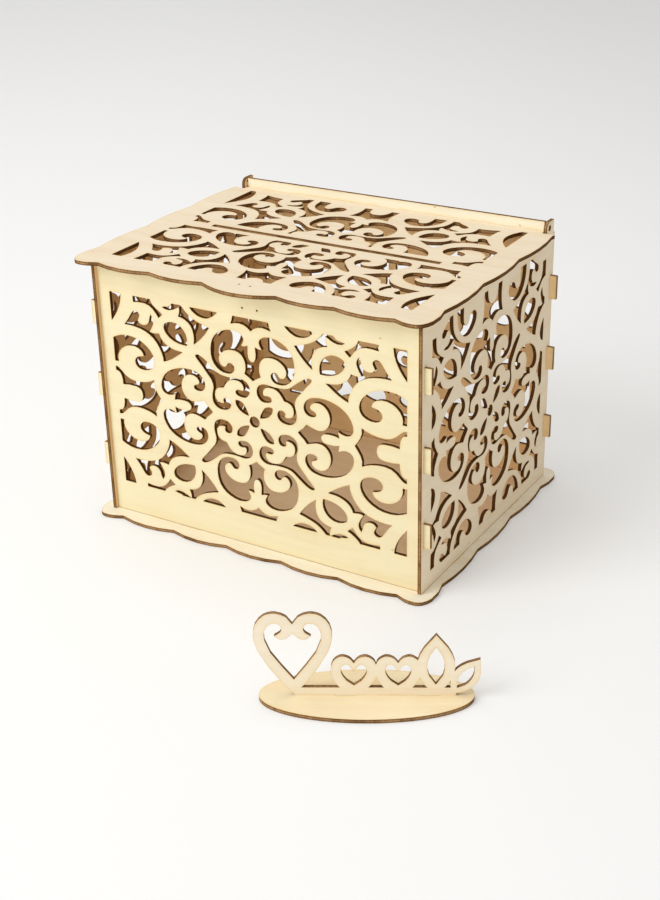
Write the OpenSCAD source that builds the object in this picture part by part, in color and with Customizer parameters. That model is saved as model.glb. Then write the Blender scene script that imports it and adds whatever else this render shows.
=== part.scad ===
// Wedding card box: a box of laser-cut plywood panels with scrolled fretwork, a slotted lid that
// turns on a rail between two ears, and a small sign that stands on the table by itself.
// Millimetres, +Z up, front toward -Y. The foot of the box is centred on the origin.

/* [Sheet] */
// plywood thickness
sheet = 3; // [2.8:0.1:3.2]
// air left on each side of a tab in its slot
tab_gap = 0.1; // [0.05:0.05:0.2]
// air under the lid and beside its tongue
lid_gap = 0.4; // [0.3:0.1:0.6]

/* [Box] */
// width over the two side panels
box_width = 300; // [298:1:304]
// depth of the side panels
box_depth = 235; // [232:1:240]
// height of the walls above the base plate
wall_height = 225; // [222:1:232]
// how far the front and back panels stand in from the side panels' edges
lip = 3; // [2.5:0.5:3.5]
// length of each joint tab
tab_length = 20.5; // [16:0.5:24]
// how far the side tabs stand out past the side panels
tab_reach = 6; // [4:0.5:7]
// distance between the side tabs
tab_pitch = 64; // [60:1:68]
// height of the middle side tab above the base plate
tab_middle = 114.5; // [108:0.5:120]
// distance of the bottom tabs from the middle of a wall
foot_tab_at = 70; // [50:0.5:80]

/* [Edges] */
// how far the base plate reaches past the walls at its side notches
rim_side = 7; // [5:0.5:8]
// how far the base plate reaches past the walls at its front and back notches
rim_front = 8; // [6:0.5:9]
// how far the lid reaches past the walls at its front notches
lid_front = 11; // [8:0.5:12]
// depth of the long edges' scallops
scallop_long = 4.4; // [3:0.2:5]
// depth of the short edges' scallops
scallop_short = 3; // [2:0.2:4]
// depth of the bulge in the middle of the lid's front edge
lid_bulge = 9.6; // [6:0.2:12]

/* [Fretwork] */
// plain border at each side of the fretwork in the front, the back and the lid
side_border = 14; // [13:0.5:26]
// plain border under the fretwork in the front and the back
front_border_low = 28.5; // [26:0.5:40]
// plain border over the fretwork in the front and the back
front_border_high = 25.5; // [24:0.5:40]
// plain border at each end of the fretwork in a side panel
end_border = 15.5; // [15:0.5:26]
// plain border under the fretwork in a side panel
side_border_low = 12; // [10:0.5:20]
// plain border over the fretwork in a side panel
side_border_high = 11; // [9:0.5:20]
// distance from the front of the box to the lid's fretwork
lid_border_front = 10; // [9:0.5:16]
// distance from the back of the box to the lid's fretwork
lid_border_back = 23; // [22.5:0.5:30]

/* [Lid] */
// length of the card slot
slot_length = 215; // [180:1:222]
// width of the card slot
slot_width = 5.5; // [4:0.5:7]
// width of the plain band round the card slot
band_width = 20; // [16:1:24]
// diameter of the pilot holes for a small hasp
pilot_hole = 1.6; // [1:0.1:2.2]
// distance between the hasp's pilot holes in the front panel
front_pilot_pitch = 13.6; // [10:0.2:16]
// distance of the hasp's pilot holes in the front panel from its top edge
front_pilot_down = 17.5; // [14:0.5:22]
// distance between the hasp's pilot holes in the lid
lid_pilot_pitch = 10; // [8:0.2:14]
// how far the hasp's pilot holes in the lid lie in front of the side panels
lid_pilot_out = 2; // [1:0.5:4]

/* [Hinge] */
// radius of an ear round its hole
ear_radius = 5.5; // [5.2:0.1:5.7]
// hole in an ear
ear_hole = 5; // [5:0.1:5.4]
// height of the pin at each end of the rail
pin_high = 3.2; // [2.8:0.1:3.2]
// distance from the back edge of the side panels to the hinge line
hinge_in = 11; // [10.5:0.1:11.5]
// height of the hinge line above the lid
hinge_up = 2.7; // [2.6:0.1:3]
// distance from the back edge of the side panels to the back of an ear
ear_in = 2.5; // [2:0.5:4]
// air between an ear and the lid's shoulder in front of it
ear_gap = 1.9; // [1.6:0.1:3]
// height of the rail above the lid
rail_high = 8; // [7:0.1:8.4]
// air between each end of the rail and the side panel
rail_gap = 1.1; // [0.8:0.1:1.6]
// distance of the rail's outer tabs from the sides of the box
rail_tab_in = 40; // [30:1:60]

/* [Sign] */
// length of the sign's oval foot
sign_foot_long = 150; // [130:1:170]
// depth of the sign's oval foot
sign_foot_deep = 60; // [50:1:70]
// where the sign stands, to the right of the box's middle
sign_x = 178; // [170:1:200]
// where the sign stands, in front of the box's middle
sign_y = 252; // [246:1:280]
// how far the sign is turned
sign_turn = 29; // [0:1:45]

/* [Hidden] */
half_w = box_width / 2;
half_d = box_depth / 2;
wall_top = sheet + wall_height;
lid_low = wall_top + lid_gap;
lid_top = lid_low + sheet;
inner = half_w - sheet;
front_in = half_d - lip - sheet;
hinge_y = half_d - hinge_in;
hinge_z = lid_top + hinge_up;
ear_back = half_d - ear_in;
lid_back = front_in - 1;
lid_shoulder = hinge_y - ear_radius - ear_gap;
rail_half = inner - rail_gap;
pin_end = half_w - 0.3;
slot_gap = 2 * tab_gap;
field_wide = box_width - 2 * side_border;
field_stretch = field_wide / 272;
front_field_high = wall_height - front_border_low - front_border_high;
side_field_deep = box_depth - 2 * end_border;
side_field_high = wall_height - side_border_low - side_border_high;
lid_field_deep = box_depth - lid_border_front - lid_border_back;
slot_centre = -half_d + lid_border_front + lid_field_deep / 2;
rail_tabs = [for (s = [-1:1]) s * (half_w - rail_tab_in)];
sign_size = sign_foot_long / 150;
sign_tabs = [-15 * sign_size, 43 * sign_size];
sign_tab_long = 14 * sign_size;
facet_turn = 18;

// ---- curves: a closed run of points, a third value marks a sharp corner ----
function at(p, i) = p[(i + len(p)) % len(p)];
function xy(p) = [p[0], p[1]];
function sharp(p) = len(p) > 2;
function chord(p, i, j) = xy(at(p, j)) - xy(at(p, i));
function leave(p, i) = sharp(at(p, i)) ? chord(p, i, i + 1) : chord(p, i - 1, i + 1) / 2;
function arrive(p, i) = sharp(at(p, i)) ? chord(p, i - 1, i) : chord(p, i - 1, i + 1) / 2;
function bend(a, b, u, v, s) = (2*s*s*s - 3*s*s + 1) * a + (s*s*s - 2*s*s + s) * u
    + (3*s*s - 2*s*s*s) * b + (s*s*s - s*s) * v;
function straight(p, i) = sharp(at(p, i)) && sharp(at(p, i + 1));
function turn(u, v) = abs(atan2(u[0] * v[1] - u[1] * v[0], u * v));
function parts(p, i) = straight(p, i) ? 1 : max(1, ceil(turn(leave(p, i), arrive(p, i + 1)) / facet_turn));
function curve(p) = [for (i = [0:len(p) - 1]) let (n = parts(p, i)) for (k = [0:n - 1])
    bend(xy(p[i]), xy(at(p, i + 1)), leave(p, i), arrive(p, i + 1), k / n)];
function flip(q, sx, sy) = [for (p = q) [p[0] * sx, p[1] * sy]];
function tagged(p, x, y) = len(p) > 2 ? [x, y, 1] : [x, y];
function twin_x(h) = concat(h, [for (i = [len(h) - 2:-1:1]) tagged(h[i], -h[i][0], h[i][1])]);
function twin_y(h) = concat(h, [for (i = [len(h) - 2:-1:1]) tagged(h[i], h[i][0], -h[i][1])]);
function wide(q) = [for (p = q) tagged(p, p[0] * 1.02, p[1])];

// ---- the fretwork, drawn for one quarter; x runs sideways and y up from the rosette ----
petal = wide([[5.2, 4.3, 1], [5.6, 6.6], [7.5, 10.4], [9.6, 13.6], [12.2, 15.3], [14.8, 15.8],
    [17.1, 15.3, 1], [17, 12.6], [15.6, 9.8], [13.4, 7.4], [10.8, 5.8], [8, 4.8]]);

small_scroll = wide([[52.6, 45], [50.5, 42.4], [47.5, 39.2], [44, 34.8], [41, 31.2], [38.8, 28.3], [37.6, 25],
    [37.3, 22], [37.9, 19], [38.6, 16], [38.8, 13], [38.2, 9.6], [36.5, 7], [34, 5.3], [30.5, 4.4], [27, 4.8],
    [24, 6], [22, 8.2], [21.3, 10.7], [21.8, 13], [23.2, 14.8], [25.5, 15.3], [27.6, 14.6], [28.5, 12.8],
    [28, 10.6], [30, 10], [32.9, 10.6], [34.8, 11.9], [36, 14], [36.2, 17], [35.3, 20.2], [33.5, 22.2],
    [31, 23.3], [27.7, 23.9, 1], [26, 26.8], [24, 29.5], [21.4, 31.5], [18.3, 32.5], [15, 32.6], [12, 31.9],
    [9.9, 30.2], [8.9, 27.6], [9.4, 24.9], [11.4, 24.8], [13.5, 25], [15.3, 24.4], [16.4, 23], [16.3, 21.3],
    [15, 20], [12.6, 19.3], [9.8, 19], [7, 19.6], [5, 21.3], [3.6, 23.8], [3.1, 26.6], [3.5, 29.2],
    [4.7, 31.5], [6.7, 33.2], [9.3, 34.3], [12.4, 34.6], [16, 34.1], [20, 33.8], [24.5, 33.9], [28.6, 34.3],
    [32, 35.3], [35, 37.2], [37.5, 39.3], [40.2, 41.5], [43, 43.7], [46, 45.8], [49, 47.2], [51.4, 47.5],
    [52.8, 46.6]]);

tall_half = wide([[0, 35, 1], [2.4, 36.8], [4.9, 38.4], [7.4, 39.7, 1], [6.6, 42], [6.2, 44.6], [6.2, 47.4],
    [6.7, 50.2], [7.8, 52.8], [9.7, 55.2], [12.2, 56.8], [15.2, 57.6], [18.6, 57.7], [22, 57.1], [25.2, 55.7],
    [28, 53.6], [30, 50.9], [30.7, 48], [30.2, 45.4], [28.8, 43.3], [26.6, 42.2], [24.6, 42.6], [23.4, 44],
    [22.2, 45.6], [20.3, 46.2], [18.4, 45.7], [17, 44.2], [16.6, 42.2], [17.1, 40.2], [18.6, 38.4],
    [20.7, 37.2], [23.6, 36.8], [27, 37], [30.2, 38.1], [33, 40], [35.4, 42.6], [37.1, 46], [38, 50],
    [38, 55], [37.3, 59.6], [35.9, 63.5], [33.7, 66.9], [30.8, 69.8], [27, 72], [22.5, 73.7], [17.6, 74.5],
    [13, 74], [9.7, 72.5], [7.5, 70.3], [7, 67.8], [7.9, 65.3], [9.4, 62.8, 1], [6.5, 62.9], [3.3, 64, 1],
    [3.5, 61], [3.7, 57.6], [3.3, 54.4], [2, 51.9], [0, 50.9]]);

long_half = wide([[39.3, 0, 1], [41.9, 2.7], [44.6, 5], [47.2, 8.3, 1], [50, 7.4], [53, 6.4], [56, 5.7],
    [59, 5.6], [61.6, 6.2], [64, 7.7], [66, 9.9], [67.4, 12.4], [68.1, 15.2], [68.2, 18.2], [67.5, 21.4],
    [66, 24.3], [63.7, 26.7], [60.6, 28.3], [57.2, 28.7], [54.1, 27.9], [51.9, 26.2], [50.8, 23.9],
    [51.5, 22], [53.6, 21.1], [55.5, 20], [56.2, 18.4], [55.2, 16.8], [52.6, 16], [49.7, 16.2], [47.3, 17.5],
    [45.8, 19.5], [45.2, 22.1], [45.6, 24.9], [46.9, 27.6], [49, 29.9], [51.8, 31.6], [55.2, 32.6],
    [59.2, 33.1], [64, 33], [68.5, 32.3], [73, 31], [77.2, 29.2], [81, 26.7], [84, 23.8], [86.2, 20.4],
    [87.7, 17], [88.3, 13.6], [87.8, 10.4], [86.3, 8.1], [84, 6.8], [81, 6.4], [77.8, 7.1], [74.9, 8.6, 1],
    [75.4, 6], [75.9, 3.1, 1], [73, 4], [69.8, 4.3], [66.2, 4.3], [62.9, 3.8], [60.8, 2.2], [60, 0]]);

leaf = wide([[60.4, 53, 1], [59.9, 56.4], [60.2, 60], [61.3, 63.3], [63.2, 66.2], [66, 68.7], [69.6, 70.3],
    [73.6, 70.7], [77.6, 69.9], [81, 68, 1], [81.9, 65.2], [81.3, 62.2], [79.5, 59.4], [76.8, 56.9],
    [73.2, 54.9], [69, 53.6], [64.6, 53]]);

hook_and_wedge = wide([[64.9, 46.5, 1], [68.5, 44], [72.3, 41.2], [76.2, 38.6], [80.2, 36.5], [84.3, 34.8, 1],
    [84.4, 38], [85.6, 42], [87.6, 46.4], [90.2, 50.3], [93.2, 53.6], [96.7, 56.1], [100.8, 58],
    [105.4, 59.4], [110.4, 60.2], [115.4, 60.6], [120.8, 60.4, 1], [118.3, 63.4], [116.1, 66.4],
    [114.3, 69.2], [112.6, 71.8], [110.7, 73.5], [108.4, 74.1], [106.3, 73.1], [105.1, 71.2], [105.7, 68.9],
    [107.2, 66, 1], [105.4, 64], [102.8, 63.1], [100, 63.4], [97.5, 64.8], [95.9, 67.2], [95.2, 70.2],
    [94, 73.6, 1], [92.3, 71.2], [91.6, 68.3], [92.2, 65.2], [93.8, 62], [96, 58.4, 1], [93, 57.7],
    [90, 58], [86.9, 58.5, 1], [85.9, 55.8], [84.2, 53.2], [81.8, 51], [78.8, 49.2], [75.2, 47.8],
    [71.6, 47], [68.2, 46.8]]);

trumpet = [[39.1, 72.2, 1], [41.2, 69], [44, 65.4], [47.3, 61.8], [51, 58.3], [55, 55.3, 1], [54.4, 58.4],
    [54.3, 61.6], [54.6, 64.8], [55.5, 68], [57, 70.9], [59.2, 73.2], [62.2, 75], [65.4, 76.1],
    [68.6, 76.6, 1], [67.5, 79], [66.9, 81.6], [67, 84.6, 1], [69.3, 83.5], [71.6, 82.1], [74.4, 81],
    [77.6, 80.3], [80.9, 80.6], [84, 81.9, 1], [81, 82.8], [77.8, 83.2], [75.2, 84.8], [73.6, 87.3],
    [73.2, 90.2], [74.1, 93], [76.2, 94.7], [78.8, 94.2], [80.9, 92], [83.4, 90.9], [85.9, 91.7],
    [86.8, 94], [85.4, 96.5], [82.2, 98.6], [78.2, 100.8], [74.6, 103.4], [72.4, 107, 1], [68.9, 107, 1],
    [68.9, 102], [68.7, 97], [68.1, 93], [66.9, 89.4], [64.7, 86], [61.8, 82.6], [58.4, 79.6],
    [54.6, 77.2], [50.6, 75.5], [46.6, 74.2], [42.8, 73]];

crown_scroll = [[62.3, 107, 1], [62, 102], [61.6, 97], [60.4, 92.2], [58, 87.6], [54.6, 83.6], [50.2, 80.8],
    [45, 79.6], [39.8, 80], [35.4, 82.2], [31.8, 85.2], [29.6, 88.8], [29.2, 92.4], [31, 95.2],
    [34.2, 96.5], [37.8, 96.1], [40.6, 94], [41.9, 91.2], [43.8, 88.9], [46.8, 88.4], [49.4, 89.9],
    [51, 92.6], [51.4, 97], [51.2, 102], [51.2, 107, 1]];

crown_half = [[0, 76.5, 1], [2.8, 78.9], [6.2, 80.6], [10.2, 81.3], [14.2, 80.8], [18.4, 79.6, 1],
    [17.2, 83], [16.2, 87], [15.6, 91.4], [15.5, 96], [16, 101], [16.8, 107, 1], [9.8, 107, 1], [9.3, 101.4],
    [8.4, 97.4], [6.4, 94], [3.6, 92], [0, 91.4]];

wing = [[83.4, 76, 1], [86.6, 77.4], [90.2, 79.8], [93.2, 82.4], [95, 85.6], [95.9, 90], [95.8, 95.8, 1],
    [101, 96], [107.4, 97.2], [114.3, 99.4, 1], [113.2, 94], [112.6, 88], [112.4, 81.4, 1], [107, 82],
    [101.4, 82.1], [96.8, 80.9], [93.2, 78.5], [90.4, 75.4], [88, 71.9, 1], [85.6, 73.8]];

edge_leaf = [[132.6, 107, 1], [129.4, 102.4], [126.8, 97.2], [125.2, 91.6], [124.7, 86], [125.4, 80.6],
    [127, 75.6], [129.4, 70.8], [132.4, 66.2], [136, 61.6], [140, 57.4, 1], [140, 107, 1]];

edge_scroll = wide([[138, 44.4, 1], [134.2, 46.4], [130, 48.6], [125, 50.4], [119, 51.1], [113, 50.7],
    [108, 49.4], [103.6, 47.3], [99.7, 44.6], [96.5, 41.3], [94.4, 37.7], [93.5, 34.2], [93.7, 31],
    [94.9, 28.1], [97, 25.8], [100, 24.3], [103.6, 23.5], [107.2, 23.6], [110.3, 24.8], [112.3, 27],
    [112.9, 29.6], [112.1, 32], [110, 33.9], [107, 35], [103.9, 35.6, 1], [104.4, 37.7], [106, 40],
    [108.8, 41.8], [112.6, 42.8], [117, 42.6], [121, 41.5], [124.6, 39.3], [127.5, 36.4], [129.3, 33],
    [130, 29.6], [129.7, 26.3, 1], [138, 26.3, 1]]);

edge_half = wide([[89.2, 0, 1], [91.8, 3.7], [94.1, 7.5], [95.5, 11.7], [95.3, 16.3, 1], [98.6, 14.5],
    [103.2, 12.9], [109, 11.9], [115, 11.7], [120, 12.7], [124.1, 15.1], [127.2, 18.1], [130, 20.6],
    [133.4, 21.6], [138, 20.6, 1], [138, 17, 1], [133.2, 17.9], [130.1, 16.9], [128.2, 14.1], [127.4, 10.4],
    [127.2, 6.2, 1], [121, 7.1], [115, 7], [110.9, 6], [108.7, 3.7], [107.9, 0]]);

quarter = [petal, small_scroll, leaf, hook_and_wedge, trumpet, crown_scroll, wing, edge_leaf, edge_scroll];

// ---- scalloped edges: half an outline, from the middle of the front round the right side ----
function bows(a, b, n, h) = let (d = (b - a) / n, o = [d[1], -d[0]] / norm(d)) [for (i = [0:n - 1])
    for (k = [0:3]) let (q = a + d * (i + k / 4) + o * h * k * (4 - k) / 4) k == 0 ? [q[0], q[1], 1] : q];
function right_lobe(a, b, s) = [[a[0] + 8, a[1] + s * 3.4], [a[0] + 17, a[1] + s * 4.2],
    [a[0] + 23, a[1] + s * 0.8], [b[0] + 2.7, b[1] + s * 23], [b[0] + 2.7, b[1] + s * 11.5]];
function back_to_front(q) = [for (i = [len(q) - 1:-1:0]) q[i]];

base_x = half_w + rim_side;
base_y = half_d + rim_front;
notch_x = half_w - 16.7;
base_a = [notch_x, -base_y];
base_b = [base_x, -half_d + 22.2];
base_c = [base_x, base_b[1] / 3];
base_quarter = concat([[0, -base_y - scallop_long], [notch_x / 10, -base_y - 0.75 * scallop_long]],
    bows([notch_x / 5, -base_y], base_a, 2, scallop_long), [[base_a[0], base_a[1], 1]],
    right_lobe(base_a, base_b, -1), bows(base_b, base_c, 1, scallop_short),
    [[base_c[0], base_c[1], 1], [base_x + 0.75 * scallop_short, base_c[1] / 2]]);
base_half = concat(base_quarter, [[base_x + scallop_short, 0]],
    back_to_front([for (p = base_quarter) tagged(p, p[0], -p[1])]));

lid_y = half_d + lid_front;
lid_a = [notch_x, -lid_y];
lid_b = [base_x, -half_d + 20];
lid_end = [base_x, lid_shoulder - 4];
lid_half = concat([[0, -lid_y - lid_bulge], [notch_x / 16, -lid_y - 0.94 * lid_bulge],
    [notch_x / 8, -lid_y - 0.75 * lid_bulge], [notch_x * 3 / 16, -lid_y - 0.42 * lid_bulge]],
    bows([notch_x / 4, -lid_y], lid_a, 2, scallop_long), [[lid_a[0], lid_a[1], 1]],
    right_lobe(lid_a, lid_b, -1), bows(lid_b, lid_end, 3, scallop_short),
    [[lid_end[0], lid_end[1], 1], [lid_end[0] + 0.8, lid_shoulder, 1],
    [inner - lid_gap, lid_shoulder, 1], [inner - lid_gap, lid_back, 1], [0, lid_back]]);

// ---- flat shapes ----
module fret() {
    circle(d = 9.4, $fn = 40);
    for (q = quarter) {
        for (sx = [1, -1]) {
            for (sy = [1, -1]) {
                polygon(flip(curve(q), sx, sy));
            }
        }
    }
    for (s = [1, -1]) {
        polygon(flip(curve(twin_x(tall_half)), 1, s));
        polygon(flip(curve(twin_x(crown_half)), 1, s));
        polygon(flip(curve(twin_y(long_half)), s, 1));
        polygon(flip(curve(twin_y(edge_half)), s, 1));
    }
}

// the drawing between -x and x and from low to high, stretched over a field that stands on y = 0
module field(x, low, high, long, tall) {
    scale([long / x / 2, tall / (high - low)])
        translate([0, -low])
            intersection() {
                translate([-x, low]) square([2 * x, high - low]);
                fret();
            }
}

// a slot that takes a tab, long across x
module tab_slot(x, y, long) {
    translate([x - long / 2 - tab_gap, y - sheet / 2 - tab_gap])
        square([long + slot_gap, sheet + slot_gap]);
}

module cross_shape(pilots) {
    difference() {
        union() {
            translate([-inner, sheet]) square([2 * inner, wall_height]);
            for (s = [-1:1]) {
                translate([-half_w - tab_reach, sheet + tab_middle + s * tab_pitch - tab_length / 2])
                    square([2 * (half_w + tab_reach), tab_length]);
            }
            for (s = [-1, 1]) {
                translate([s * foot_tab_at - tab_length / 2, 0]) square([tab_length, sheet + 1]);
            }
        }
        translate([0, sheet + front_border_low])
            field(136, -84.5, 86.5, field_wide, front_field_high);
        if (pilots) {
            for (s = [-1, 1]) {
                translate([s * front_pilot_pitch / 2, wall_top - front_pilot_down])
                    circle(d = pilot_hole, $fn = 24);
            }
        }
    }
}

// a side panel seen from the right: x runs to the back and y upward
module side_shape() {
    difference() {
        union() {
            translate([-half_d, sheet]) square([box_depth, wall_height]);
            for (s = [-1, 1]) {
                translate([s * foot_tab_at * 0.75 - tab_length / 2, 0]) square([tab_length, sheet + 1]);
            }
            translate([hinge_y - ear_radius, wall_top - 1])
                square([ear_back - hinge_y + ear_radius, hinge_z - wall_top + 1]);
            translate([hinge_y, hinge_z - 1]) square([ear_back - hinge_y, ear_radius + 1]);
            translate([hinge_y, hinge_z]) circle(r = ear_radius, $fn = 48);
        }
        translate([0, sheet + side_border_low])
            field(102, -97.8, 104.2, side_field_deep, side_field_high);
        translate([hinge_y, hinge_z]) circle(d = ear_hole, $fn = 32);
        for (y = [-1, 1]) {
            for (s = [-1:1]) {
                translate([y * (front_in + sheet / 2) - sheet / 2 - tab_gap,
                           sheet + tab_middle + s * tab_pitch - tab_length / 2 - tab_gap])
                    square([sheet + slot_gap, tab_length + slot_gap]);
            }
        }
    }
}

module base_shape() {
    difference() {
        polygon(curve(twin_x(base_half)));
        for (s = [-1, 1]) {
            for (y = [-1, 1]) {
                tab_slot(s * foot_tab_at, y * (front_in + sheet / 2), tab_length);
                translate([s * (inner + sheet / 2), y * foot_tab_at * 0.75]) rotate(90)
                    tab_slot(0, 0, tab_length);
            }
        }
    }
}

// the plain band round the slot; scrolls that it would leave as mere scraps are left out beside it
module band() {
    square([slot_length + 0.8 * band_width, band_width], center = true);
    for (s = [-1, 1]) {
        for (scrap = [[19.3, 1, 22], [100.3, 1, 9], [50.2, -1, 9]]) {
            translate([s * scrap[0] * field_stretch, scrap[1] * band_width / 2])
                square([scrap[2] * field_stretch, 6], center = true);
        }
    }
}

module lid_shape() {
    difference() {
        polygon(curve(twin_x(lid_half)));
        difference() {
            translate([0, -half_d + lid_border_front])
                field(136, -97.5, 104.5, field_wide, lid_field_deep);
            translate([0, slot_centre]) band();
        }
        translate([-slot_length / 2, slot_centre - slot_width / 2]) square([slot_length, slot_width]);
        for (x = rail_tabs) {
            tab_slot(x, hinge_y, tab_length);
        }
        for (s = [-1, 1]) {
            translate([s * lid_pilot_pitch / 2, -half_d - lid_pilot_out]) circle(d = pilot_hole, $fn = 24);
        }
    }
}

module rail_shape() {
    translate([-rail_half, lid_top]) square([2 * rail_half, rail_high]);
    translate([-pin_end, hinge_z - pin_high / 2]) square([2 * pin_end, pin_high]);
    for (x = rail_tabs) {
        translate([x - tab_length / 2, lid_low]) square([tab_length, sheet + 1]);
    }
}

// hearts and leaves of the sign, half of each about its own middle, foot at the bottom
heart_half = [[0, 0.5, 1], [8, 10], [17.2, 23], [24.2, 36], [27, 47], [25.4, 57.6], [19.6, 64.6],
    [11.6, 66.6], [4, 63.6], [0, 58, 1]];
heart_cut = [[0, 13, 1], [8.6, 24.6], [15.6, 35], [19.3, 45], [18.8, 53], [14.8, 58], [9.6, 57.8], [7.4, 54],
    [9, 50.8], [12.6, 48.4, 1], [8.6, 45.6], [4, 46.6], [0, 50.4, 1]];
small_half = [[0, 0.5, 1], [7.6, 4.4], [13.4, 11], [16, 19.6], [14.4, 27.8], [8.8, 32], [3, 30.4],
    [0, 26.6, 1]];
small_cut = [[0, 8.2, 1], [5, 12], [8.6, 18], [8.2, 23.6], [4.6, 25.2], [1.8, 22.6], [0, 19, 1]];
leaf_half = [[0, 0.5, 1], [7.4, 8], [12.4, 18], [12.8, 28], [8.4, 38.6], [0, 49.4, 1]];
leaf_cut = [[0, 9, 1], [4.8, 16.4], [6, 25], [4, 33], [0, 39.6, 1]];

module ring(half, cut) {
    difference() {
        polygon(curve(twin_x(half)));
        polygon(curve(twin_x(cut)));
    }
}

module ornament_shape() {
    scale(sign_size) {
        translate([-50, 0]) ring(heart_half, heart_cut);
        translate([-8.5, 0]) ring(small_half, small_cut);
        translate([22, 0]) ring(small_half, small_cut);
        translate([48, 0]) ring(leaf_half, leaf_cut);
        translate([59, 1]) rotate(-34) scale(0.7) ring(leaf_half, leaf_cut);
        translate([-50, 0]) square([112, 6.5]);
    }
    for (x = sign_tabs) {
        translate([x - sign_tab_long / 2, -sheet]) square([sign_tab_long, sheet + 1]);
    }
}

module plinth_shape() {
    difference() {
        polygon([for (a = [0:5:355]) [sign_foot_long / 2 * cos(a), sign_foot_deep / 2 * sin(a)]]);
        for (x = sign_tabs) {
            tab_slot(x, 0, sign_tab_long);
        }
    }
}

// ---- the pieces ----
module upright(y) {
    translate([0, y + sheet / 2, 0]) rotate([90, 0, 0]) linear_extrude(height = sheet) children();
}

module crosswise(x) {
    translate([x - sheet / 2, 0, 0]) rotate([90, 0, 90]) linear_extrude(height = sheet) children();
}

module at_sign() {
    translate([sign_x, -sign_y, 0]) rotate([0, 0, sign_turn]) children();
}

module base_plate() {
    color([0.94, 0.86, 0.70]) linear_extrude(height = sheet) base_shape();
}

module front_panel() {
    color([0.95, 0.88, 0.71]) upright(-front_in - sheet / 2) cross_shape(true);
}

module back_panel() {
    color([0.90, 0.80, 0.62]) upright(front_in + sheet / 2) cross_shape(false);
}

module left_side_panel() {
    color([0.88, 0.79, 0.62]) crosswise(-inner - sheet / 2) side_shape();
}

module right_side_panel() {
    color([0.88, 0.79, 0.62]) crosswise(inner + sheet / 2) side_shape();
}

module lid_panel() {
    color([0.95, 0.87, 0.73]) translate([0, 0, lid_low]) linear_extrude(height = sheet) lid_shape();
}

module hinge_rail() {
    color([0.92, 0.82, 0.64]) upright(hinge_y) rail_shape();
}

module sign_plinth() {
    color([0.94, 0.87, 0.71]) at_sign() linear_extrude(height = sheet) plinth_shape();
}

module sign_ornament() {
    color([0.95, 0.86, 0.68]) at_sign() upright(0) translate([0, sheet]) ornament_shape();
}

base_plate();
front_panel();
back_panel();
left_side_panel();
right_side_panel();
lid_panel();
hinge_rail();
sign_plinth();
sign_ornament();
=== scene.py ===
import math
import bpy
from mathutils import Euler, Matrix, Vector

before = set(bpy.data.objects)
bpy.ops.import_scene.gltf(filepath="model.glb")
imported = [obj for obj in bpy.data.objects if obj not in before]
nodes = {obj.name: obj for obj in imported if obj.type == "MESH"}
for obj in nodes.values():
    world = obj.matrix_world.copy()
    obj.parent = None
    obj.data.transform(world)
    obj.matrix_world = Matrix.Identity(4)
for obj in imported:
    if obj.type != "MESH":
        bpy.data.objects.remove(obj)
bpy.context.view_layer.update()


def newGroup(name, inputs, outputs):
    group = bpy.data.node_groups.new(name, "ShaderNodeTree")
    for way, sockets in (("INPUT", inputs), ("OUTPUT", outputs)):
        for label, kind in sockets:
            group.interface.new_socket(name=label, in_out=way, socket_type=kind)
    return group, group.nodes.new("NodeGroupInput"), group.nodes.new("NodeGroupOutput")


# gives each named socket of a node a link or a plain value
def fill(tree, node, sockets):
    for key, value in dict(sockets).items():
        if isinstance(value, bpy.types.NodeSocket):
            tree.links.new(value, node.inputs[key])
        else:
            node.inputs[key].default_value = value


def put(tree, kind, sockets=(), **settings):
    node = tree.nodes.new(kind)
    for key, value in settings.items():
        setattr(node, key, value)
    fill(tree, node, sockets)
    return node


def calc(tree, operation, *values):
    return put(tree, "ShaderNodeMath", enumerate(values), operation=operation).outputs[0]


def dot(tree, first, second):
    return put(tree, "ShaderNodeVectorMath", {0: first, 1: second},
               operation="DOT_PRODUCT").outputs["Value"]


# value going from low to high comes out as toLow to toHigh, and no further
def spread(tree, value, low, high, toLow=0.0, toHigh=1.0, smooth=True):
    sockets = {"Value": value, "From Min": low, "From Max": high, "To Min": toLow, "To Max": toHigh}
    kind = "SMOOTHSTEP" if smooth else "LINEAR"
    return put(tree, "ShaderNodeMapRange", sockets, interpolation_type=kind).outputs["Result"]


def blend(tree, factor, first, second, way="MIX"):
    sockets = {0: factor, 6: first, 7: second}  # 6 and 7 are a Mix node's two colours
    return put(tree, "ShaderNodeMix", sockets, data_type="RGBA", blend_type=way).outputs[2]


def stretched(tree, vector, scale):
    return put(tree, "ShaderNodeMapping", {"Vector": vector, "Scale": scale}).outputs["Vector"]


# pattern: stretch in X, Y and Z, then scale, detail and roughness
def noise(tree, vector, pattern):
    stretch, scale, detail, rough = pattern
    return put(tree, "ShaderNodeTexNoise", {"Vector": stretched(tree, vector, stretch),
               "Scale": scale, "Detail": detail, "Roughness": rough}).outputs["Fac"]


def solid(color):
    return (*color, 1)


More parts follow.
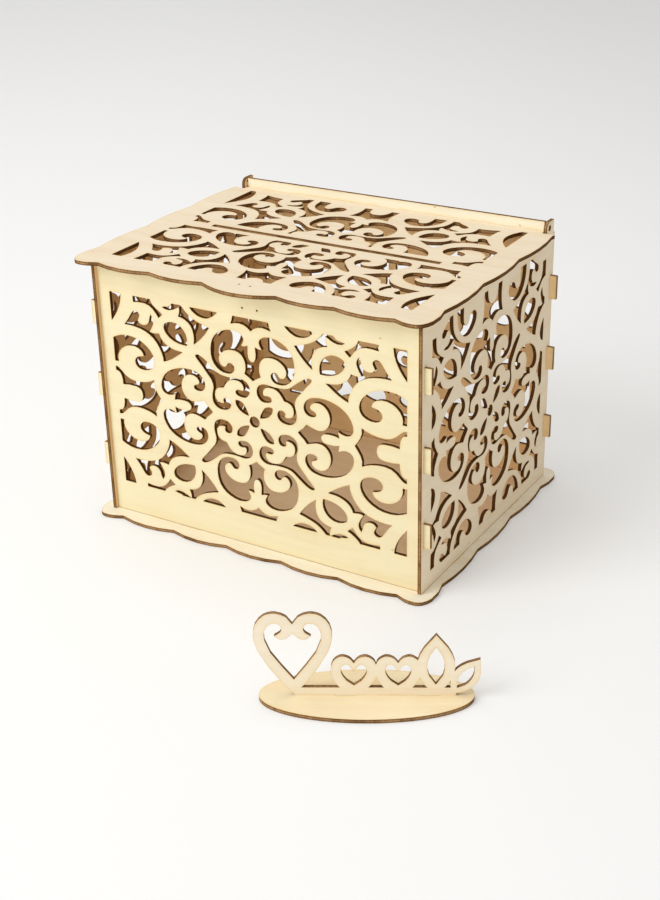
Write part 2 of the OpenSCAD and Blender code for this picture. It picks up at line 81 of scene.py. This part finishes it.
# birch veneer: X of the vector runs along the grain
birchLook = {
    "mottle": 0.11,      # broad patches, lighter and darker
    "rings": 0.098,      # wide soft lines along the grain
    "streak": 0.07,      # fine lines along the grain
    "fleck": 0.16,       # short dark pores
    "sway": 0.02,        # metres by which the lines wander
    "poreDip": 0.7,      # depth of the pores in the bump, against the fine lines
    "broadPattern": ((1.0, 3.2, 1.0), 14.0, 3.0, 0.5),
    "broadRange": (0.35, 0.7),   # from where to where a pattern counts
    "swayPattern": ((0.8, 2.0, 1.0), 9.0, 1.0, 0.5),
    "streakPattern": ((0.035, 1.0, 1.0), 420.0, 3.0, 0.6),
    "streakRange": (0.45, 0.72),
    "ringPattern": ((0.05, 1.0, 1.0), 95.0, 1.0, 0.5),
    "ringRange": (0.42, 0.62),
    "porePattern": ((0.09, 1.0, 1.0), 1500.0, 1.0, 0.5),
    "poreRange": (0.66, 0.74),
    "knotEvery": 0.045,  # one pin knot, at most, in each square of this side
    "knotFrom": 0.84,    # only squares whose chance lies above this have one
    "knotStretch": (0.6, 1.0, 1.0),
    "knotSize": 0.0006,
    "knotFade": (1.6, 0.5),      # from rim to heart, in knot sizes
    "knotDepth": 0.6,
    "knotColor": (0.50, 0.27, 0.11),
    "roughRange": (0.3, 0.7),
    "rough": (0.52, 0.68),
}


def makeBirch(look):
    group, came, goes = newGroup(
        "birchVeneer",
        [("Vector", "NodeSocketVector"), ("Tone", "NodeSocketColor"),
         ("Warm", "NodeSocketColor"), ("Figure", "NodeSocketFloat")],
        [("Color", "NodeSocketColor"), ("Roughness", "NodeSocketFloat"),
         ("Height", "NodeSocketFloat")])
    place = came.outputs["Vector"]
    sway = calc(group, "MULTIPLY", noise(group, place, look["swayPattern"]), look["sway"])
    aside = put(group, "ShaderNodeCombineXYZ", {"Y": sway}).outputs[0]
    bent = put(group, "ShaderNodeVectorMath", {0: place, 1: aside}, operation="ADD").outputs[0]
    broad = noise(group, place, look["broadPattern"])
    lines = noise(group, bent, look["streakPattern"])
    rings = noise(group, bent, look["ringPattern"])
    pore = spread(group, noise(group, bent, look["porePattern"]), *look["poreRange"])
    warmth = 0.0
    for layer, share in ((spread(group, broad, *look["broadRange"]), "mottle"),
                         (spread(group, rings, *look["ringRange"]), "rings"),
                         (spread(group, lines, *look["streakRange"]), "streak"),
                         (pore, "fleck")):
        warmth = calc(group, "MULTIPLY_ADD", layer, look[share], warmth)
    warmth = calc(group, "MULTIPLY", warmth, came.outputs["Figure"])
    color = blend(group, warmth, came.outputs["Tone"], came.outputs["Warm"])
    cells = put(group, "ShaderNodeTexVoronoi",
                {"Vector": stretched(group, place, look["knotStretch"]),
                 "Scale": 1 / look["knotEvery"]}, voronoi_dimensions="2D")
    rim, heart = (size * look["knotSize"] / look["knotEvery"] for size in look["knotFade"])
    chance = put(group, "ShaderNodeSeparateColor", {"Color": cells.outputs["Color"]}).outputs[0]
    knot = calc(group, "MULTIPLY",
                spread(group, cells.outputs["Distance"], rim, heart),
                calc(group, "GREATER_THAN", chance, look["knotFrom"]))
    color = blend(group, calc(group, "MULTIPLY", knot, look["knotDepth"]), color,
                  solid(look["knotColor"]))
    rough = spread(group, lines, *look["roughRange"], *look["rough"], False)
    height = calc(group, "SUBTRACT", lines, calc(group, "MULTIPLY", pore, look["poreDip"]))
    fill(group, goes, {"Color": color, "Roughness": rough, "Height": height})
    return group


# the burnt edge that the laser leaves, with the plies showing across the sheet
edgeLook = {
    "char": (0.085, 0.029, 0.004),
    "veneerPly": (0.27, 0.143, 0.054),
    "corePly": (0.455, 0.268, 0.122),
    "glueAt": 0.31,         # where the core starts, as a share of the sheet
    "glueSoft": 0.035,      # half the width over which one ply turns into the next
    "lip": (0.40, 0.49),    # the charred rim, as distances from the sheet's middle
    "waver": 0.06,          # how far the glue line wanders, as a share of the sheet
    "patchBurn": 0.6,
    "rippleBurn": 0.45,
    "waverPattern": ((1.0, 1.0, 0.2), 700.0, 2.0, 0.5),
    "ripplePattern": ((1.0, 1.0, 0.06), 1100.0, 1.0, 0.5),
    "rippleRange": (0.52, 0.66),
    "patchPattern": ((1.0, 1.0, 1.0), 60.0, 2.0, 0.5),
    "patchRange": (0.4, 0.68),
    "roughRange": (0.3, 0.7),
    "rough": (0.85, 0.96),
}


def makePlyEdge(look):
    group, came, goes = newGroup(
        "burntPlyEdge",
        [("Vector", "NodeSocketVector"), ("Across", "NodeSocketFloat"),
         ("Burn", "NodeSocketFloat")],
        [("Color", "NodeSocketColor"), ("Roughness", "NodeSocketFloat")])
    place = came.outputs["Vector"]
    ragged = noise(group, place, look["waverPattern"])
    ripple = noise(group, place, look["ripplePattern"])
    patch = noise(group, place, look["patchPattern"])
    off = calc(group, "ABSOLUTE", calc(group, "SUBTRACT", came.outputs["Across"], 0.5))
    off = calc(group, "MULTIPLY_ADD", calc(group, "SUBTRACT", ragged, 0.5), look["waver"], off)
    half = 0.5 - look["glueAt"]
    core = spread(group, off, half + look["glueSoft"], half - look["glueSoft"])
    color = blend(group, core, solid(look["veneerPly"]), solid(look["corePly"]))
    patchy = calc(group, "MULTIPLY", spread(group, patch, *look["patchRange"]),
                  look["patchBurn"])
    rippled = calc(group, "MULTIPLY", spread(group, ripple, *look["rippleRange"]),
                   look["rippleBurn"])
    for burn in (patchy, rippled, came.outputs["Burn"], spread(group, off, *look["lip"])):
        color = blend(group, burn, color, solid(look["char"]))
    rough = spread(group, ripple, *look["roughRange"], *look["rough"], False)
    fill(group, goes, {"Color": color, "Roughness": rough})
    return group


# the scorch on a face beside a cut: a dark lip and a paler halo round it
# reach: metres from the cut; full: how far the rounded normal turns before the scorch is at its
# strongest, as a cosine; least and most: its strength where the smoke was thin and thick
scorchLook = {
    "Lip": {"reach": 0.0008, "full": 0.74, "smoke": (0.3, 0.7), "least": 0.35, "most": 0.7},
    "Halo": {"reach": 0.0042, "full": 0.88, "smoke": (0.32, 0.68), "least": 0.2975, "most": 0.85},
    "flat": 0.998,          # cosine above which the face counts as clear of any cut
    "bevelSamples": 6,
    "smokePattern": ((1.0, 1.0, 1.0), 38.0, 3.0, 0.5),
    "lipColor": (0.29, 0.125, 0.038),
    "haloTint": (1.0, 0.86, 0.60),
}


def makeScorch(look):
    group, came, goes = newGroup("cutScorch", [("Vector", "NodeSocketVector")],
                                 [("Lip", "NodeSocketFloat"), ("Halo", "NodeSocketFloat")])
    flat = group.nodes.new("ShaderNodeNewGeometry").outputs["True Normal"]
    smoke = noise(group, came.outputs["Vector"], look["smokePattern"])
    for label in ("Lip", "Halo"):
        part = look[label]
        rounded = put(group, "ShaderNodeBevel", {"Radius": part["reach"]},
                      samples=look["bevelSamples"]).outputs[0]
        near = spread(group, dot(group, rounded, flat), look["flat"], part["full"], smooth=False)
        depth = spread(group, smoke, *part["smoke"], part["least"], part["most"])
        fill(group, goes, {label: calc(group, "MULTIPLY", near, depth)})
    return group


birch = makeBirch(birchLook)
plyEdge = makePlyEdge(edgeLook)
scorch = makeScorch(scorchLook)
print("shader groups ready")

# where the loose sign stands, in metres and degrees
signPlace = {"right": 0.178, "front": 0.252, "turn": 29}
signTurn = math.radians(signPlace["turn"])
signAlong = (math.cos(signTurn), math.sin(signTurn), 0)
signAcross = (-math.sin(signTurn), math.cos(signTurn), 0)
signMiddle = signPlace["right"] * signAcross[0] - signPlace["front"] * signAcross[1]

# what all the sheets share
plyLook = {
    "thick": 0.003,
    "warm": (0.80, 0.62, 0.42),        # the grain's tint over the sheet's own tone
    "faceFrom": 0.6,                   # a normal this far along the sheet's way through is a face
    "endGrain": (0.2, 0.7),            # how far a cut's normal lies along the grain
    "seamHigh": 0.0007,                # the dark line where a wall stands on the base plate
    "seamDepth": 0.8,
    "seamColor": (0.16, 0.07, 0.025),
    "gloss": 0.05,
    "bump": 0.25,
    "bumpHigh": 0.00012,
}

# across: the way through the sheet; middle: where the sheet's middle lies along it, in metres
# along: the way of the grain; up: the other way of the fretwork; shift: metres along the veneer
# tone faces out; the back tone is that of the other face of the sheet: its veneer, and on several
# sheets also painted shade or painted light for the inside of the box
# field: how far the fretwork runs along and up the sheet, with a tone of its own if it has one; on
# the base plate it is the floor inside the walls, and its tone there is painted shade
# burn: how charred the outer and the fret edges are; endBurn: the same for edges across the grain
# foot: height of the seam with the base plate
# the reverse veneer, warmer and more orange than the faces: partly the veneer's own tone, partly
# painted warm shade for the inside of the box
reverseVeneerAndShade = (0.96, 0.725, 0.435)
frontField = ((-0.1365, 0.1365), (0.031, 0.203))
sideField = ((-0.1025, 0.1025), (0.0145, 0.2175))
plyLooks = {
    "base_plate": {
        "across": (0, 0, 1), "middle": 0.0015, "along": (1, 0, 0), "up": (0, 1, 0), "shift": 0.0,
        "tone": (0.95, 0.89, 0.72), "backVeneerAndShade": reverseVeneerAndShade, "figure": 1.0,
        # the floor inside the walls is darker and warmer than the rim: painted shade, a shaded copy
        # of the same veneer
        "field": ((-0.1472, 0.1472), (-0.1125, 0.1125)), "fieldTone": (0.94, 0.75, 0.51),
        "burn": (0.1, 0.1), "endBurn": 0.5},
    "front_panel": {
        "across": (0, -1, 0), "middle": 0.113, "along": (1, 0, 0), "up": (0, 0, 1), "shift": 0.7,
        "tone": (0.885, 0.79, 0.525), "backVeneerAndShade": reverseVeneerAndShade, "figure": 0.9,
        "field": frontField, "burn": (0.15, 0.94), "foot": 0.003},
    "back_panel": {
        "across": (0, 1, 0), "middle": 0.113, "along": (1, 0, 0), "up": (0, 0, 1), "shift": 1.9,
        # the back panel's inner face is paler than the reverse veneer of the other sheets: painted
        # light inside the box
        "tone": (0.86, 0.765, 0.52), "backVeneerAndShade": (0.99, 0.76, 0.445), "figure": 1.0,
        "field": frontField, "burn": (0.15, 0.70), "foot": 0.003},
    "left_side_panel": {
        "across": (-1, 0, 0), "middle": 0.1485, "along": (0, 1, 0), "up": (0, 0, 1), "shift": 3.1,
        # the left panel's inner face is darker and browner than the other back faces: painted
        # shade, as it faces away from the key lamp
        "tone": (0.88, 0.78, 0.53), "backVeneerAndShade": (0.80, 0.575, 0.315), "figure": 1.0,
        "field": sideField, "burn": (0.4, 0.80), "foot": 0.003},
    "right_side_panel": {
        "across": (1, 0, 0), "middle": 0.1485, "along": (0, 1, 0), "up": (0, 0, 1), "shift": 4.3,
        # the right side's outer tone is paler than the other sheets: painted light, lifting the
        # side that faces away from the key lamp
        "tone": (0.95, 0.82, 0.61), "backVeneerAndShade": reverseVeneerAndShade, "figure": 1.0,
        "field": sideField, "burn": (0.1, 0.85), "foot": 0.003},
    "lid_panel": {
        "across": (0, 0, 1), "middle": 0.2299, "along": (1, 0, 0), "up": (0, 1, 0), "shift": 5.7,
        "tone": (0.86, 0.735, 0.545), "backVeneerAndShade": (0.87, 0.735, 0.50), "figure": 1.1,
        "field": ((-0.1365, 0.1365), (-0.108, 0.095)), "burn": (0.05, 0.14), "endBurn": 0.74},
    "hinge_rail": {
        "across": (0, -1, 0), "middle": -0.1065, "along": (1, 0, 0), "up": (0, 0, 1), "shift": 6.1,
        "tone": (0.96, 0.92, 0.74), "backVeneerAndShade": reverseVeneerAndShade, "figure": 1.0, "burn": (0.5, 0.5)},
    "sign_plinth": {
        "across": (0, 0, 1), "middle": 0.0015, "along": signAlong, "up": signAcross, "shift": 7.9,
        "tone": (0.94, 0.81, 0.545), "backVeneerAndShade": reverseVeneerAndShade, "figure": 1.2, "burn": (0.0, 0.0)},
    "sign_ornament": {
        "across": signAcross, "middle": signMiddle, "along": signAlong, "up": (0, 0, 1),
        "shift": 8.3, "tone": (0.90, 0.79, 0.58), "backVeneerAndShade": (0.99, 0.89, 0.695), "figure": 0.9,
        "burn": (0.1, 0.1)},
}


def plyMaterial(name, look):
    material = bpy.data.materials.new(name + "_birch")
    material.use_nodes = True
    tree = material.node_tree
    shader = tree.nodes["Principled BSDF"]
    coords = tree.nodes.new("ShaderNodeTexCoord")
    across = Vector(look["across"])
    along = Vector(look["along"])
    beside = across.cross(along)

    def measure(source, way):
        return dot(tree, coords.outputs[source], tuple(way))

    depth = calc(tree, "SUBTRACT", measure("Object", across), look["middle"])
    place = put(tree, "ShaderNodeCombineXYZ", {
        "X": calc(tree, "ADD", measure("Object", along), look["shift"]),
        "Y": measure("Object", beside), "Z": depth}).outputs[0]
    facing = measure("Normal", across)
    onFace = calc(tree, "GREATER_THAN", calc(tree, "ABSOLUTE", facing), plyLook["faceFrom"])
    outside = calc(tree, "GREATER_THAN", facing, 0.0)
    inField = 1.0 if "field" in look else 0.0
    for way, (low, high) in zip((look["along"], look["up"]), look.get("field", ())):
        reach = measure("Object", way)
        inField = calc(tree, "MULTIPLY", inField, calc(tree, "GREATER_THAN", reach, low))
        inField = calc(tree, "MULTIPLY", inField, calc(tree, "LESS_THAN", reach, high))

    # inside the field a sheet may take a tone of its own, which on the base plate is painted shade
    tone = blend(tree, inField, solid(look["tone"]), solid(look.get("fieldTone", look["tone"])))
    tone = blend(tree, outside, solid(look["backVeneerAndShade"]), tone)
    warm = blend(tree, 1.0, tone, solid(plyLook["warm"]), "MULTIPLY")
    veneer = put(tree, "ShaderNodeGroup", node_tree=birch)
    fill(tree, veneer, {"Vector": place, "Tone": tone, "Warm": warm, "Figure": look["figure"]})

    low, high = look["burn"]
    burn = calc(tree, "MULTIPLY_ADD", inField, high - low, low)
    if "endBurn" in look:
        endGrain = calc(tree, "ABSOLUTE", measure("Normal", along))
        burn = calc(tree, "MAXIMUM", burn,
                    spread(tree, endGrain, *plyLook["endGrain"], 0.0, look["endBurn"]))
    edge = put(tree, "ShaderNodeGroup", node_tree=plyEdge)
    level = calc(tree, "MULTIPLY_ADD", depth, 1 / plyLook["thick"], 0.5)
    fill(tree, edge, {"Vector": place, "Across": level, "Burn": burn})

    burnt = put(tree, "ShaderNodeGroup", node_tree=scorch)
    fill(tree, burnt, {"Vector": place})
    face = blend(tree, burnt.outputs["Halo"], veneer.outputs["Color"],
                 solid(scorchLook["haloTint"]), "MULTIPLY")
    face = blend(tree, burnt.outputs["Lip"], face, solid(scorchLook["lipColor"]))
    if "foot" in look:
        seam = spread(tree, measure("Object", look["up"]), look["foot"],
                      look["foot"] + plyLook["seamHigh"], plyLook["seamDepth"], 0.0)
        face = blend(tree, seam, face, solid(plyLook["seamColor"]))

    color = blend(tree, onFace, edge.outputs["Color"], face)
    # 2 and 3 are a Mix node's two plain values
    rough = put(tree, "ShaderNodeMix", {0: onFace, 2: edge.outputs["Roughness"],
                3: veneer.outputs["Roughness"]}, data_type="FLOAT").outputs[0]
    bump = put(tree, "ShaderNodeBump", {
        "Strength": plyLook["bump"], "Distance": plyLook["bumpHigh"],
        "Height": calc(tree, "MULTIPLY", veneer.outputs["Height"], onFace)}).outputs["Normal"]
    fill(tree, shader, {"Base Color": color, "Roughness": rough, "Normal": bump,
                        "Specular IOR Level": plyLook["gloss"]})
    return material


for name, look in plyLooks.items():
    material = plyMaterial(name, look)
    for slot in nodes[name].material_slots:
        slot.material = material
print("plywood on", len(plyLooks), "pieces")

floorLook = {
    "size": 12.0,
    "below": 0.0002,                   # metres under the object's foot
    "color": (0.94, 0.935, 0.92),
    "falloffShadeColor": (0.80, 0.79, 0.785),   # painted shade: the paper darker towards the back and right, far from the lamps
    "farWay": (0.669, 0.538, 0.0),
    "farFrom": -0.15,
    "farTo": 1.0,
    "haze": 0.25,                      # share of plain white laid over what is seen of the floor
    "hazeColor": (0.99, 0.98, 0.96),
    "fadeFrom": 2.8,                   # from here out the floor turns into the white backdrop
    "fadeTo": 4.4,
    "rough": 0.85,
    "gloss": 0.2,
}


# 1 for what the camera sees straight, mirrored or through glass, 0 for the light on the object
def rayIsSeen(tree):
    path = tree.nodes.new("ShaderNodeLightPath")
    return calc(tree, "MAXIMUM", path.outputs["Is Camera Ray"],
                calc(tree, "MAXIMUM", path.outputs["Is Glossy Ray"],
                     path.outputs["Is Transmission Ray"]))


def makeFloor(look):
    half = look["size"] / 2
    corners = [(-half, -half, 0), (half, -half, 0), (half, half, 0), (-half, half, 0)]
    mesh = bpy.data.meshes.new("floor")
    mesh.from_pydata(corners, [], [(0, 1, 2, 3)])
    floor = bpy.data.objects.new("floor", mesh)
    floor.location.z = -look["below"]
    bpy.context.scene.collection.objects.link(floor)
    material = bpy.data.materials.new("floorPaper")
    material.use_nodes = True
    tree = material.node_tree
    shader = tree.nodes["Principled BSDF"]
    place = tree.nodes.new("ShaderNodeTexCoord").outputs["Object"]
    # painted shade on the floor, growing towards the back and right
    falloffShade = spread(tree, dot(tree, place, look["farWay"]), look["farFrom"], look["farTo"])
    fill(tree, shader, {
        "Base Color": blend(tree, falloffShade, solid(look["color"]), solid(look["falloffShadeColor"])),
        "Roughness": look["rough"], "Specular IOR Level": look["gloss"]})
    radius = put(tree, "ShaderNodeVectorMath", {0: place}, operation="LENGTH").outputs["Value"]
    faded = spread(tree, radius, look["fadeFrom"], look["fadeTo"])
    haze = put(tree, "ShaderNodeEmission",
               {"Color": blend(tree, faded, solid(look["hazeColor"]), (1, 1, 1, 1))})
    share = calc(tree, "MULTIPLY", rayIsSeen(tree),
                 spread(tree, faded, 0.0, 1.0, look["haze"], 1.0, False))
    mixed = put(tree, "ShaderNodeMixShader", {0: share, 1: shader.outputs[0], 2: haze.outputs[0]})
    fill(tree, tree.nodes["Material Output"], {"Surface": mixed.outputs[0]})
    mesh.materials.append(material)


lightLook = {
    "sky": 0.54,
    "aim": (0.0, -0.05, 0.1),
    "lamps": {
        "key": {"power": 56.0, "size": 2.2, "at": (-1.25, -2.25, 2.05)},
        "fill": {"power": 16.0, "size": 2.0, "at": (-0.45, 0.10, 2.80)},
    },
}


def makeLights(look):
    scene = bpy.context.scene
    world = bpy.data.worlds.new("studio")
    scene.world = world
    world.use_nodes = True
    tree = world.node_tree
    strength = spread(tree, rayIsSeen(tree), 0.0, 1.0, look["sky"], 1.0, False)
    fill(tree, tree.nodes["Background"], {"Color": (1, 1, 1, 1), "Strength": strength})
    for name, lamp in look["lamps"].items():
        light = bpy.data.lights.new(name, "AREA")
        light.shape = "DISK"
        light.size = lamp["size"]
        light.energy = lamp["power"]
        stand = bpy.data.objects.new(name, light)
        stand.location = lamp["at"]
        aim = Vector(look["aim"]) - Vector(lamp["at"])
        stand.rotation_euler = aim.to_track_quat("-Z", "Y").to_euler()
        scene.collection.objects.link(stand)


cameraLook = {
    "at": (0.60817, -0.99776, 0.60941),
    "turned": (64.1200, 1.1815, 30.8324),
    "lens": 81.577,
    "sensor": 36,
    "clipEnd": 50,
}


def makeCamera(look):
    scene = bpy.context.scene
    data = bpy.data.cameras.new("camera")
    data.sensor_fit = "HORIZONTAL"
    data.sensor_width = look["sensor"]
    data.lens = look["lens"]
    data.clip_end = look["clipEnd"]
    camera = bpy.data.objects.new("camera", data)
    camera.location = look["at"]
    camera.rotation_euler = Euler([math.radians(angle) for angle in look["turned"]])
    scene.collection.objects.link(camera)
    scene.camera = camera


makeFloor(floorLook)
makeLights(lightLook)
makeCamera(cameraLook)
bpy.context.scene.view_settings.view_transform = "Standard"
print("floor, light and camera ready")
